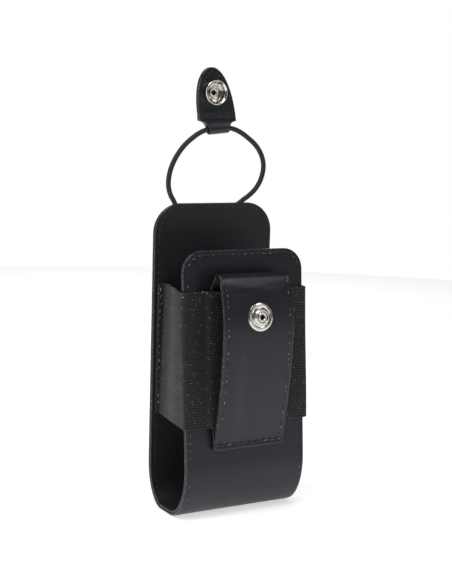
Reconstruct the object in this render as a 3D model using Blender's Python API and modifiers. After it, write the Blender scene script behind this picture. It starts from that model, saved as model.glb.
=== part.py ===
"""A soft leather case for a small hand-held device, standing on its round bottom.

One two-ply strip runs down the back, round the bottom and up the front. An elastic band joins
the two panels at the sides and runs across the front. A strap on the front forms a slot for a
belt and carries a snap stud. An elastic cord loop stands on the back panel's top edge and
carries a leather tab with the snap socket, which folds over the front and presses on the stud.

Sizes are in millimetres and turned into metres as the objects are made. X runs to the right,
the front faces -Y and Z is up. The origin is under the middle of the case, on its standing face.
"""
import math

import bmesh
import bpy
from mathutils import Matrix, Vector

MM = 0.001
GAP = 0.3  # clearance between two pieces that touch
TURN_STEPS = 36  # facets of a turned piece

# Case strip: two plies of leather sewn round the edge
STRIP_WIDTH = 64.0
BACK_HEIGHT = 144.6
FRONT_HEIGHT = 125.8  # measured up the leaning panel
CASE_DEPTH = 39.1  # outside, where the round bottom meets the panels
BACK_BEND_DEPTH = 14.0  # the two bends leave a flat foot between them
BACK_BEND_HEIGHT = 22.0
FRONT_BEND_DEPTH = 16.0
FRONT_BEND_HEIGHT = 23.5
FRONT_LEAN = math.radians(4.95)  # the front panel leans towards the back panel
CASE_PLY = 1.1
BACK_CORNER = 14.0
FRONT_CORNER = 10.0
CORNER_STEPS = 6

# Elastic band: sewn inside the back panel's edges, it wraps the front panel
BAND_BOTTOM = 44.4
BAND_HEIGHT = 62.8
BAND_THICKNESS = 1.2
BAND_FLANGE = 4.2  # width sewn to the back panel
BAND_INSET = 1.5  # from the back panel's edge to the band's raw end

# Strap: a facing folded over at the top, with a lining behind its front leg
STRAP_WIDTH = 37.0
STRAP_PLY = 0.8
STRAP_BOTTOM = 33.8  # up the front panel
STRAP_RISE = 81.6  # from the bottom end to the top of the fold
STRAP_STAND_OFF = 13.2  # from the panel to the strap's outer face, at the stud
STRAP_FOLD_RISE = 1.8  # the fold starts above the elastic band

# Snap stud on the strap, and the hollow posts that hold both halves of the snap
STUD_UP = 61.6  # from the strap's bottom end
STUD_FLANGE = 13.1
STUD_BOSS = 7.0
STUD_HEIGHT = 2.4
STUD_PLATE = 0.8  # thickness of the stud's flange
POST_BORE = 2.3
POST_WALL = 0.55
POST_HEAD = 9.0
POST_HEAD_THICKNESS = 0.6
LIP_HEIGHT = 0.6
LIP_WIDTH = 0.7  # how far the rolled end spreads beyond the post

# Snap socket on the tab
SOCKET_RIM = 11.7
SOCKET_BASE = 9.4
SOCKET_WALL = 0.7
SOCKET_DEPTH = 4.6
SPRING_WIRE = 0.6
SPRING_SPLIT = math.radians(28.0)
CAP_DIAMETER = 12.6
CAP_HEIGHT = 1.9

# Leather tab, folded round the cord
TAB_LENGTH = 28.7  # from the cord to the tip
TAB_WIDTH = 19.6
TAB_THICKNESS = 3.0
TAB_SHOULDER = 3.5  # lowest point of the wide part, above the cord
TAB_NECK = 10.8
TAB_TILT = math.radians(-6.0)
TAB_SWAY = 2.2  # the tip stands this far to the left of the neck's middle line
TAB_SKEW = 0.10  # slope of the line between the shoulders, down to the right
SNAP_UP = 17.0  # above the cord
SNAP_ASIDE = -2.8

# Elastic cord: the points are (across, above the back panel's top edge)
CORD_DIAMETER = 2.4
CROWN_CENTRE = (1.0, 35.4)
HINGE_RISE = 1.5  # the cord bends this far above the edge
CORD_LEFT = [(-22.0, 1.3), (-23.3, 3.3), (-24.5, 6.3), (-24.9, 9.6), (-24.6, 13.0), (-23.7, 16.4),
             (-22.1, 20.0), (-19.9, 23.5), (-17.0, 27.0), (-13.4, 30.1), (-9.4, 32.8)]
CORD_RIGHT = [(16.3, 1.4), (19.0, 3.1), (22.4, 5.9), (25.0, 9.3), (26.6, 13.2), (27.2, 17.1),
              (26.6, 21.0), (24.8, 24.7), (22.0, 28.0), (18.6, 30.6), (13.8, 33.3), (10.1, 35.4)]

# Worked out from the above
STRIP = 2 * CASE_PLY + GAP
HALF_WIDTH = STRIP_WIDTH / 2
BEND_OVERRUN = math.atan(FRONT_BEND_HEIGHT / FRONT_BEND_DEPTH * math.tan(FRONT_LEAN))
BEND_END = FRONT_BEND_HEIGHT * (1 + math.sin(BEND_OVERRUN))
FRONT_FOOT = (-CASE_DEPTH + FRONT_BEND_DEPTH * (1 - math.cos(BEND_OVERRUN))
              - BEND_END * math.tan(FRONT_LEAN))  # front face's line at the floor, from the back
STUD_CENTRE_UP = STRAP_BOTTOM + STUD_UP
STUD_REACH = STRAP_STAND_OFF + GAP + STUD_HEIGHT
OVERALL_DEPTH = (STUD_REACH * math.cos(FRONT_LEAN) - FRONT_FOOT
                 - STUD_CENTRE_UP * math.sin(FRONT_LEAN))
BACK_Y = OVERALL_DEPTH / 2
BACK_INSIDE_Y = BACK_Y - STRIP
CORD_Y = BACK_Y - STRIP / 2
POST_RADIUS = POST_BORE / 2 + POST_WALL
POST_HOLE = POST_RADIUS + GAP


def front_point(up, out):
    """Point (y, z) at a height up the front panel's outer face and a distance out from it."""
    y = BACK_Y + FRONT_FOOT + up * math.sin(FRONT_LEAN) - out * math.cos(FRONT_LEAN)
    z = up * math.cos(FRONT_LEAN) + out * math.sin(FRONT_LEAN)
    return Vector((y, z))


def smooth_curve(points, steps):
    """Points of the smooth curve through the given ones, with so many steps to a span."""
    points = [Vector(p) for p in points]
    padded = [2 * points[0] - points[1], *points, 2 * points[-1] - points[-2]]
    result = []
    for a, b, c, d in zip(padded, padded[1:], padded[2:], padded[3:]):
        t1 = (b - a).length ** 0.5
        t2 = t1 + (c - b).length ** 0.5
        t3 = t2 + (d - c).length ** 0.5
        for k in range(steps):
            t = t1 + (t2 - t1) * k / steps
            ab = a.lerp(b, t / t1)
            bc = b.lerp(c, (t - t1) / (t2 - t1))
            cd = c.lerp(d, (t - t2) / (t3 - t2))
            abc = ab.lerp(bc, t / t2)
            bcd = bc.lerp(cd, (t - t1) / (t3 - t1))
            result.append(abc.lerp(bcd, (t - t1) / (t2 - t1)))
    result.append(points[-1])
    return result


def shifted(line, distance):
    """A line of (y, z) points moved to its right-hand side."""
    result = []
    for i, point in enumerate(line):
        along = (line[min(i + 1, len(line) - 1)] - line[max(i - 1, 0)]).normalized()
        result.append(point + distance * Vector((along.y, -along.x)))
    return result


# ---- Blender helpers ----

for old in list(bpy.data.objects):
    bpy.data.objects.remove(old, do_unlink=True)
PIECES = bpy.data.collections.new("leather_device_case")
CUTTERS = bpy.data.collections.new("cutters")
bpy.context.scene.collection.children.link(PIECES)
bpy.context.scene.collection.children.link(CUTTERS)


def make_material(name, colour, roughness, metallic=0.0):
    material = bpy.data.materials.new(name)
    material.use_nodes = True
    shader = material.node_tree.nodes["Principled BSDF"]
    shader.inputs["Base Color"].default_value = (*colour, 1.0)
    shader.inputs["Roughness"].default_value = roughness
    shader.inputs["Metallic"].default_value = metallic
    return material


LEATHER = make_material("black_leather", (0.016, 0.016, 0.018), 0.45)
LINING = make_material("leather_lining", (0.02, 0.02, 0.021), 0.7)
ELASTIC = make_material("ribbed_elastic", (0.012, 0.012, 0.013), 0.6)
CORD = make_material("cord", (0.014, 0.014, 0.015), 0.55)
CHROME = make_material("snap_chrome", (0.78, 0.77, 0.75), 0.14, 1.0)


def add_piece(name, data, material, parent=None, matrix=None):
    """Put a mesh or curve in the scene, with the matrix in its parent's space, in millimetres."""
    piece = bpy.data.objects.new(name, data)
    PIECES.objects.link(piece)
    data.materials.append(material)
    piece.parent = parent
    if matrix is not None:
        piece.matrix_local = in_metres(matrix)
    return piece


def in_metres(matrix):
    result = matrix.copy()
    result.translation = matrix.translation * MM
    return result


def add_empty(name, place, parent=None, matrix=Matrix()):
    empty = bpy.data.objects.new(name, None)
    PIECES.objects.link(empty)
    empty.parent = parent
    empty.matrix_local = in_metres(Matrix.Translation(place) @ matrix)
    return empty


def add_cutter(name, cutter):
    """Take the object that a primitive call has just made into the cutters' collection."""
    cutter.name = name
    for collection in list(cutter.users_collection):
        collection.objects.unlink(cutter)
    CUTTERS.objects.link(cutter)
    cutter.hide_render = True
    cutter.display_type = "WIRE"
    return cutter


def cutting_cylinder(name, radius, length, parent, matrix):
    bpy.ops.mesh.primitive_cylinder_add(vertices=TURN_STEPS, radius=radius * MM, depth=length * MM)
    cutter = add_cutter(name, bpy.context.object)
    cutter.parent = parent
    cutter.matrix_local = in_metres(matrix)
    return cutter


def combine(piece, other, operation):
    modifier = piece.modifiers.new(f"{operation.lower()}_{other.name}", "BOOLEAN")
    modifier.object = other
    modifier.operation = operation
    modifier.solver = "EXACT"


def mapped_sheet(name, columns, rows, place, thickness, material):
    """A sheet whose middle surface is a grid put in place by place(column, row)."""
    mesh = bpy.data.meshes.new(name)
    bm = bmesh.new()
    bmesh.ops.create_grid(bm, x_segments=columns, y_segments=rows, size=1.0)
    for vertex in bm.verts:
        column = round((vertex.co.x + 1) / 2 * columns)
        row = round((vertex.co.y + 1) / 2 * rows)
        vertex.co = Vector(place(column, row)) * MM
    bm.to_mesh(mesh)
    bm.free()
    sheet = add_piece(name, mesh, material)
    solidify = sheet.modifiers.new("thickness", "SOLIDIFY")
    solidify.thickness = thickness * MM
    solidify.offset = 0.0
    solidify.use_even_offset = True
    return sheet


def strip_sheet(name, line, half_widths, thickness, material):
    """A strip of leather along a line of (y, z) points, with a half width at each."""
    columns = 4

    def place(column, row):
        across = (2 * column / columns - 1) * half_widths[row]
        return (across, line[row].x, line[row].y)

    return mapped_sheet(name, columns, len(line) - 1, place, thickness, material)


def turned_piece(name, profile, material, parent, matrix):
    """A turned shape round Z, from (radius, z) points that run down its outer side."""
    closed = profile[0][0] > 0.0
    mesh = bpy.data.meshes.new(name)
    bm = bmesh.new()
    corners = [bm.verts.new((radius * MM, 0.0, z * MM)) for radius, z in profile]
    for a, b in zip(corners, corners[1:]):
        bm.edges.new((a, b))
    if closed:
        bm.edges.new((corners[-1], corners[0]))
    bm.to_mesh(mesh)
    bm.free()
    piece = add_piece(name, mesh, material, parent, matrix)
    screw = piece.modifiers.new("turn", "SCREW")
    screw.axis = "Z"
    screw.steps = TURN_STEPS
    screw.render_steps = TURN_STEPS
    screw.use_merge_vertices = True
    screw.merge_threshold = 0.00001
    screw.use_smooth_shade = True
    return piece


def wire_piece(name, points, diameter, material, parent):
    """A round wire or cord through points, which are in the parent's space."""
    curve = bpy.data.curves.new(name, "CURVE")
    curve.dimensions = "3D"
    curve.bevel_depth = diameter / 2 * MM
    curve.bevel_resolution = 2
    curve.use_fill_caps = True
    spline = curve.splines.new("POLY")
    spline.points.add(len(points) - 1)
    for spot, point in zip(spline.points, points):
        spot.co = (*(Vector(point) * MM), 1.0)
    return add_piece(name, curve, material, parent)


# ---- Case strip ----

def rounded_corner(radius):
    """(distance from the end, narrowing of each side) down a rounded corner."""
    angles = [math.pi / 2 * k / CORNER_STEPS for k in range(CORNER_STEPS + 1)]
    return [(radius * (1 - math.cos(a)), radius * (1 - math.sin(a))) for a in angles]


def case_line():
    """The strip's outer face as (y, z) points down the back, round and up, and half widths."""
    line = []
    half_widths = []
    for down, narrowing in rounded_corner(BACK_CORNER):
        line.append(Vector((BACK_Y, BACK_HEIGHT - down)))
        half_widths.append(HALF_WIDTH - narrowing)
    back_centre = BACK_Y - BACK_BEND_DEPTH
    front_centre = BACK_Y - CASE_DEPTH + FRONT_BEND_DEPTH
    steps = 7
    for k in range(steps + 1):
        a = math.pi / 2 * k / steps
        line.append(Vector((back_centre + BACK_BEND_DEPTH * math.cos(a),
                            BACK_BEND_HEIGHT * (1 - math.sin(a)))))
    for k in range(steps + 1):
        a = math.pi / 2 + (math.pi / 2 + BEND_OVERRUN) * k / steps
        line.append(Vector((front_centre + FRONT_BEND_DEPTH * math.cos(a),
                            FRONT_BEND_HEIGHT * (1 - math.sin(a)))))
    half_widths += [HALF_WIDTH] * (2 * steps + 2)
    for down, narrowing in reversed(rounded_corner(FRONT_CORNER)):
        line.append(front_point(FRONT_HEIGHT - down, 0.0))
        half_widths.append(HALF_WIDTH - narrowing)
    return line, half_widths


def make_case():
    line, half_widths = case_line()
    outer_middle = CASE_PLY / 2
    lining_middle = CASE_PLY + GAP + CASE_PLY / 2
    strip_sheet("case_outer", shifted(line, outer_middle), half_widths, CASE_PLY, LEATHER)
    strip_sheet("case_lining", shifted(line, lining_middle), half_widths, CASE_PLY, LINING)


# ---- Elastic band ----

def band_path(z):
    """The band's middle line at one height, as (x, y) points from left to right."""
    on_face = GAP + BAND_THICKNESS / 2
    back = BACK_INSIDE_Y - on_face
    front = front_point(z / math.cos(FRONT_LEAN), 0.0).x
    over_strap = front - on_face - STRAP_PLY - GAP
    raw_end = HALF_WIDTH - BAND_INSET
    turn = raw_end - BAND_FLANGE + BAND_THICKNESS / 2
    side = HALF_WIDTH + on_face
    strap_edge = STRAP_WIDTH / 2 + GAP
    half = [
        (0.0, over_strap),
        (strap_edge, over_strap),
        (strap_edge + 1.2, over_strap + 0.2),
        (strap_edge + 3.2, front - on_face - 0.1),
        (strap_edge + 5.0, front - on_face),
        (HALF_WIDTH, front - on_face),
        (HALF_WIDTH + 0.75 * on_face, front - 0.75 * on_face),
        (side, front),
        (side, front + STRIP),
        (turn + 0.3, back - 2.2),
        (turn + 0.3, back - 0.7),
        (turn + 1.2, back),
        (raw_end, back),
    ]
    half = smooth_curve(half, 2)
    return [Vector((-p.x, p.y)) for p in reversed(half[1:])] + half


def make_band():
    ends = [(z, band_path(z)) for z in (BAND_BOTTOM, BAND_BOTTOM + BAND_HEIGHT)]

    def place(column, row):
        z, path = ends[row]
        return (path[column].x, path[column].y, z)

    mapped_sheet("elastic_band", len(ends[0][1]) - 1, 1, place, BAND_THICKNESS, ELASTIC)


# ---- Strap ----

def strap_path():
    """The facing's middle line as (up the panel, out from it), from the front leg's lower end."""
    rear = GAP + STRAP_PLY / 2
    sewn = rear + 2 * (STRAP_PLY + GAP)
    peak = STRAP_STAND_OFF - STRAP_PLY / 2
    bottom = STRAP_BOTTOM
    stud = STUD_CENTRE_UP
    top = STRAP_BOTTOM + STRAP_RISE - STRAP_PLY / 2
    band_top = (BAND_BOTTOM + BAND_HEIGHT) / math.cos(FRONT_LEAN)
    spread = peak - rear
    front_leg = [
        (bottom, sewn),
        (bottom + 4.0, sewn),
        (bottom + 8.0, sewn + 0.09 * spread),
        (bottom + 0.5 * STUD_UP, sewn + 0.56 * spread),
        (stud - 8.0, peak - 0.2),
        (stud, peak),
        (stud + 7.0, peak - 0.06 * spread),
        (top - 3.4, peak - 0.22 * spread),
    ]
    fold = [
        (top - 0.8, rear + 0.67 * spread),
        (top, rear + 0.52 * spread),
        (top - 0.7, rear + 0.38 * spread),
        (top - 3.2, rear + 0.22 * spread),
        (band_top + STRAP_FOLD_RISE, rear + 0.04 * spread),
        (band_top, rear),
    ]
    rear_leg = [
        (band_top - 12.0, rear),
        (bottom, rear),
    ]
    return front_leg, fold, rear_leg


def stud_frame(line):
    """Middle and outward direction of the strap's line, as (y, z), at the stud's height."""
    height = front_point(STUD_CENTRE_UP, STRAP_STAND_OFF).y
    for a, b in zip(line, line[1:]):
        if a.y <= height <= b.y:
            along = (b - a).normalized()
            place = a + along * ((height - a.y) / along.y)
            return place, Vector((-along.y, along.x))
    return None


def make_strap():
    front_leg, fold, rear_leg = strap_path()
    steps = 3
    facing = [front_point(p.x, p.y) for p in smooth_curve(front_leg + fold + rear_leg, steps)]
    lining = shifted(facing[:steps * (len(front_leg) - 1) + 2], STRAP_PLY + GAP)
    half = STRAP_WIDTH / 2
    facing_sheet = strip_sheet("strap_facing", facing, [half] * len(facing), STRAP_PLY, LEATHER)
    lining_sheet = strip_sheet("strap_lining", lining, [half] * len(lining), STRAP_PLY, LINING)
    place, outward = stud_frame(facing)
    face = place + outward * STRAP_PLY / 2
    matrix = (Matrix.Translation((0.0, face.x, face.y))
              @ Matrix.Rotation(math.atan2(-outward.x, outward.y), 4, "X"))
    hole = cutting_cylinder("strap_post_hole", POST_HOLE, 8.0, None, matrix)
    combine(facing_sheet, hole, "DIFFERENCE")
    combine(lining_sheet, hole, "DIFFERENCE")
    return matrix


# ---- Snap: the height 0 of each profile is the leather's face ----

def post_profile(lip_bottom, leather, closed_end):
    """Hollow post: a rolled lip in front, a shank and a head behind the leather."""
    bore = POST_BORE / 2
    head = POST_HEAD / 2
    lip = POST_RADIUS + LIP_WIDTH
    lip_top = lip_bottom + LIP_HEIGHT
    back = -(leather + GAP)
    end = back - POST_HEAD_THICKNESS
    outside = [
        (bore + 0.25, lip_top),
        (lip - 0.25, lip_top),
        (lip, lip_top - 0.25),
        (lip - 0.1, lip_bottom),
        (POST_RADIUS, lip_bottom),
        (POST_RADIUS, back),
        (head, back),
        (head, end),
    ]
    if closed_end:
        floor = end + POST_WALL / 2
        return [(0.0, floor), (bore, floor), (bore, lip_top - 0.25), *outside, (0.0, end)]
    return [*outside, (bore, end), (bore, lip_top - 0.25)]


def make_stud(matrix):
    boss = STUD_BOSS / 2
    flange = STUD_FLANGE / 2
    recess_floor = STUD_HEIGHT - LIP_HEIGHT
    recess = POST_RADIUS + LIP_WIDTH + GAP
    top = GAP + STUD_HEIGHT
    plate_top = GAP + STUD_PLATE
    profile = [
        (boss - 0.3, top),
        (boss, top - 0.3),
        (boss, top - 0.6),
        (boss - 0.35, top - 0.9),
        (boss - 0.35, plate_top + 0.3),
        (boss, plate_top),
        (flange - 0.7, plate_top),
        (flange, plate_top - 0.3),
        (flange - 0.1, GAP),
        (POST_HOLE, GAP),
        (POST_HOLE, recess_floor),
        (recess, recess_floor),
        (recess, top - 0.15),
        (recess + 0.15, top),
    ]
    turned_piece("snap_stud", profile, CHROME, None, matrix)
    leather = 2 * STRAP_PLY + GAP
    turned_piece("stud_post", post_profile(recess_floor + GAP, leather, False), CHROME, None, matrix)


def make_socket(parent, matrix):
    rim = SOCKET_RIM / 2
    base = SOCKET_BASE / 2
    floor = GAP + SOCKET_WALL
    top = GAP + SOCKET_DEPTH
    mouth = rim - SOCKET_WALL
    waist = rim - 0.5
    profile = [
        (rim - 0.2, top),
        (rim, top - 0.3),
        (waist, top - 0.9),
        (waist - 0.2, GAP + 1.1),
        (base, GAP),
        (POST_HOLE, GAP),
        (POST_HOLE, floor),
        (base - 0.4, floor),
        (waist - 0.2 - SOCKET_WALL, floor + 0.6),
        (waist - SOCKET_WALL, top - 0.9),
        (mouth, top - 0.2),
        (mouth + 0.2, top),
    ]
    turned_piece("snap_socket", profile, CHROME, parent, matrix)
    turned_piece("socket_post", post_profile(floor + GAP, TAB_THICKNESS, True), CHROME, parent, matrix)
    ring = waist - 0.2 - SOCKET_WALL - GAP - SPRING_WIRE / 2
    height = floor + 0.6 + GAP + SPRING_WIRE / 2
    turn = 2 * math.pi - SPRING_SPLIT
    steps = 28
    angles = [SPRING_SPLIT / 2 + turn * k / steps for k in range(steps + 1)]
    points = [matrix @ Vector((ring * math.cos(a), ring * math.sin(a), height)) for a in angles]
    wire_piece("socket_spring", points, SPRING_WIRE, CHROME, parent)
    back = -(TAB_THICKNESS + GAP)
    inside = back - POST_HEAD_THICKNESS - GAP
    edge = CAP_DIAMETER / 2
    hollow = POST_HEAD / 2 + GAP
    end = back - CAP_HEIGHT
    cap_profile = [
        (0.0, inside),
        (hollow, inside),
        (hollow, back),
        (edge - 0.4, back),
        (edge, back - 0.4),
        (edge - 0.1, back - 0.8),
        (edge - 0.9, end + 0.6),
        (edge * 0.55, end + 0.15),
        (0.0, end),
    ]
    turned_piece("tab_cap", cap_profile, CHROME, parent, matrix)


# ---- Leather tab ----

def skewed(x, up):
    """A point of the tab's outline, with the tab's sway and skew, which start at the neck."""
    share = min(max(up / TAB_SHOULDER, 0.0), 1.0)
    rest = 1 - up / TAB_LENGTH
    return (x - TAB_SWAY * up / TAB_LENGTH * share, up - TAB_SKEW * x * rest * share)


def tab_outline():
    """Right-hand half of the even tab, from the neck's foot up to the tip, as (across, up)."""
    neck = TAB_NECK / 2
    half = TAB_WIDTH / 2
    notch = half - neck
    steps = 5
    points = [(neck, 0.0)]
    for k in range(steps + 1):
        a = math.pi / 2 * k / steps
        points.append((half - notch * math.cos(a), TAB_SHOULDER - notch * (1 - math.sin(a))))
    rise = TAB_LENGTH - TAB_SHOULDER - 1.6
    for k in range(13):
        share = math.sin(math.pi / 2 * k / 12)
        width = half * math.sqrt(max(0.0, 1 - share ** 2.3))
        points.append((width, TAB_SHOULDER + 1.6 + rise * share))
    return points


def make_tab(parent):
    half = tab_outline()
    outline = [skewed(x, up) for x, up in half + [(-x, up) for x, up in reversed(half[:-1])]]
    curve = bpy.data.curves.new("tab_outline", "CURVE")
    curve.dimensions = "2D"
    curve.fill_mode = "BOTH"
    curve.extrude = TAB_THICKNESS / 2 * MM
    spline = curve.splines.new("POLY")
    spline.points.add(len(outline) - 1)
    for spot, (x, y) in zip(spline.points, outline):
        spot.co = (x * MM, y * MM, 0.0, 1.0)
    spline.use_cyclic_u = True
    upright = Matrix.Rotation(math.pi / 2, 4, "X")
    flat = add_piece("tab_outline", curve, LEATHER, parent, upright)
    bpy.context.view_layer.update()
    graph = bpy.context.evaluated_depsgraph_get()
    mesh = bpy.data.meshes.new_from_object(flat.evaluated_get(graph))
    bm = bmesh.new()
    bm.from_mesh(mesh)
    bmesh.ops.remove_doubles(bm, verts=bm.verts, dist=0.000001)
    bmesh.ops.recalc_face_normals(bm, faces=bm.faces)
    bm.to_mesh(mesh)
    bm.free()
    mesh.materials.clear()
    tab = add_piece("tab_leather", mesh, LEATHER, parent, upright)
    bpy.data.objects.remove(flat, do_unlink=True)

    along_cord = Matrix.Rotation(math.pi / 2, 4, "Y")
    bore = CORD_DIAMETER / 2 + GAP
    fold = cutting_cylinder("tab_fold", bore + TAB_THICKNESS / 2 - 0.2, TAB_NECK, parent, along_cord)
    combine(tab, fold, "UNION")
    combine(tab, cutting_cylinder("tab_bore", bore, 2 * TAB_NECK, parent, along_cord), "DIFFERENCE")
    face = (Matrix.Translation((SNAP_ASIDE, -TAB_THICKNESS / 2, SNAP_UP))
            @ Matrix.Rotation(math.pi / 2, 4, "X"))
    hole = cutting_cylinder("tab_post_hole", POST_HOLE, 4 * TAB_THICKNESS, parent, face)
    combine(tab, hole, "DIFFERENCE")
    make_socket(parent, face)


# ---- Cord loop ----

def make_loop():
    hinge_z = BACK_HEIGHT + HINGE_RISE
    loop_axis = add_empty("loop_axis", (0.0, CORD_Y, hinge_z))
    crown_place = Vector((CROWN_CENTRE[0], 0.0, CROWN_CENTRE[1] - HINGE_RISE))
    tilt = Matrix.Rotation(TAB_TILT, 4, "Y")
    crown_axis = add_empty("crown_axis", crown_place, loop_axis, tilt)
    tab_axis = add_empty("tab_axis", (0.0, 0.0, 0.0), crown_axis)
    half = TAB_NECK / 2 + GAP
    for name, side, leg in (("cord_left", -1, CORD_LEFT), ("cord_right", 1, CORD_RIGHT)):
        ends = [crown_place + tilt @ Vector((side * (half + reach), 0.0, 0.0))
                for reach in (CORD_DIAMETER / 2, GAP)]
        points = [Vector((x, 0.0, z - HINGE_RISE)) for x, z in leg] + ends
        wire_piece(name, smooth_curve(points, 2), CORD_DIAMETER, CORD, loop_axis)
    wire_piece("cord_crown", [(-half, 0, 0), (0, 0, 0), (half, 0, 0)], CORD_DIAMETER, CORD, crown_axis)
    make_tab(tab_axis)


make_case()
make_band()
make_stud(make_strap())
make_loop()
for piece in PIECES.objects:
    if piece.type == "MESH":
        piece.data.shade_smooth()
        piece.data.set_sharp_from_angle(angle=math.radians(35.0))
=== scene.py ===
"""A soft leather case for a small hand-held device, standing on its round bottom.

A two-ply leather strip runs down the back, round the bottom and up the front. Ribbed elastic
closes its sides, a strap on the front holds a belt and a snap stud, and a loop of elastic cord
on the back panel carries the leather tab with the snap socket.

Sizes are in millimetres and turned into metres as each mesh is made. X runs to the right, the
front faces -Y and Z is up.
"""

import math

import bpy
import numpy as np
from mathutils import Matrix, Vector


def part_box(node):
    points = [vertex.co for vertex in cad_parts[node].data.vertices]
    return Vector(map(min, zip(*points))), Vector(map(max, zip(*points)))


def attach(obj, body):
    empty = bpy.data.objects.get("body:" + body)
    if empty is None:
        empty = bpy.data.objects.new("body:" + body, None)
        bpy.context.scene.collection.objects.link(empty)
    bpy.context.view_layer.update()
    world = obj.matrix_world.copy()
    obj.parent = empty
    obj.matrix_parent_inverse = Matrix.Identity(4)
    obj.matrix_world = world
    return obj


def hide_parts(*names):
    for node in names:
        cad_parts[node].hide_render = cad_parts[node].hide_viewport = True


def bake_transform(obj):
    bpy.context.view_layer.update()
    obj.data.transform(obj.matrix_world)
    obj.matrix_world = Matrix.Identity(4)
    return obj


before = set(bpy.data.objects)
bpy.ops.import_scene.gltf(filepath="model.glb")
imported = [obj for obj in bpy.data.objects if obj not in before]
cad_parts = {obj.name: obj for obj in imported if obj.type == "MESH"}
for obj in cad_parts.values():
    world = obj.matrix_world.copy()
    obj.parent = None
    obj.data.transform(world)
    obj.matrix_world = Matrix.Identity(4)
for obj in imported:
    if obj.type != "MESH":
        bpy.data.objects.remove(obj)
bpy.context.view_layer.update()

# ---- Camera ----
# It stands in front of the case, a third of the way round to its left and a little above the
# middle, with a long lens and a slight roll.

CAMERA_AZIMUTH = math.radians(30.7)
CAMERA_ELEVATION = math.radians(9.24)
CAMERA_ROLL = math.radians(1.76)
CAMERA_DISTANCE = 0.582
CAMERA_LOOKS_AT = Vector((0.0, 0.0047, 0.095))

camera_data = bpy.data.cameras.new("camera")
camera_data.sensor_fit = "HORIZONTAL"
camera_data.sensor_width = 36.0
camera_data.lens = 97.9
camera_data.shift_x = -0.0097
camera_data.shift_y = 0.0414
camera_data.clip_start = 0.01
camera = bpy.data.objects.new("camera", camera_data)
bpy.context.scene.collection.objects.link(camera)
towards_camera = Vector((-math.sin(CAMERA_AZIMUTH) * math.cos(CAMERA_ELEVATION),
                         -math.cos(CAMERA_AZIMUTH) * math.cos(CAMERA_ELEVATION),
                         math.sin(CAMERA_ELEVATION)))
camera_turn = towards_camera.to_track_quat("Z", "Y").to_matrix().to_4x4()
camera.matrix_world = (Matrix.Translation(CAMERA_LOOKS_AT + towards_camera * CAMERA_DISTANCE)
                       @ camera_turn @ Matrix.Rotation(CAMERA_ROLL, 4, "Z"))
bpy.context.scene.camera = camera

# ---- Cord loop ----
# Round elastic cord, 2.4 mm thick: rubber strands in a sheath braided from black polyester.
# Both ends are sewn in between the back panel's two plies, and it bends at the leather's edge.

MM = 0.001
CORD_DIAMETER = 2.4
CORD_SPACING = 0.3  # between rings of the tube
CASE_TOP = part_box("case_outer")[1].z / MM
CORD_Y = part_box("case_outer")[1].y / MM - 1.25  # between the two plies
CROWN = np.array((1.0, CORD_Y, CASE_TOP + 35.4))
CROWN_TILT = math.radians(-6.0)
HINGE_RISE = 1.5
BRAID_STRANDS = 8  # strands that wind each way round the cord
BRAID_LAY = 3.4  # length in which a strand goes once round
BRAID_HEIGHT = 0.018

# Points (across, above the back panel's top edge) along the loop, from left to right
CORD_POINTS = [
    (-22.1, HINGE_RISE), (-23.3, 3.3), (-24.5, 6.3), (-24.9, 9.6), (-24.6, 13.0), (-23.7, 16.4),
    (-22.1, 20.0), (-19.9, 23.5), (-17.0, 27.0), (-13.4, 30.1), (-9.4, 32.8), (-4.7, 34.7),
    (1.0, 35.4), (6.6, 35.7), (10.4, 35.0), (14.0, 33.5), (18.5, 30.7), (22.0, 28.0),
    (24.8, 24.7), (26.6, 21.0), (27.2, 17.1), (26.6, 13.2), (25.0, 9.3), (22.4, 5.9),
    (19.2, 3.2), (16.5, HINGE_RISE),
]


def smooth_path(points, steps):
    """Points of the centripetal Catmull-Rom curve through the given ones, steps to a span.

    Each span is mixed from its four nearest points, in proportion to the square roots of
    their distances, so that the curve turns gently however the points are spaced.
    """
    points = np.asarray(points, float)
    points = np.vstack((2 * points[0] - points[1], points, 2 * points[-1] - points[-2]))
    knots = np.concatenate(([0.0], np.cumsum(np.linalg.norm(np.diff(points, axis=0), axis=1) ** 0.5)))
    spans = len(points) - 3
    place = np.arange(spans * steps + 1) / steps
    span = np.minimum(place.astype(int), spans - 1)
    k = [knots[span + n] for n in range(4)]
    p = [points[span + n] for n in range(4)]
    at = k[1] + (k[2] - k[1]) * (place - span)

    def mixed(a, b, start, end):
        share = ((at - start) / (end - start))[:, None]
        return a + (b - a) * share

    ab, bc, cd = (mixed(p[n], p[n + 1], k[n], k[n + 1]) for n in range(3))
    return mixed(mixed(ab, bc, k[0], k[2]), mixed(bc, cd, k[1], k[3]), k[1], k[2])


def lengths_along(path):
    """Distance along a path to each of its points."""
    return np.concatenate(([0.0], np.cumsum(np.linalg.norm(np.diff(path, axis=0), axis=1))))


def even_path(path, spacing):
    """The same path with its points at equal distances."""
    along = lengths_along(path)
    wanted = np.linspace(0.0, along[-1], max(2, round(along[-1] / spacing) + 1))
    return np.stack([np.interp(wanted, along, axis) for axis in path.T], axis=-1)


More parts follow.
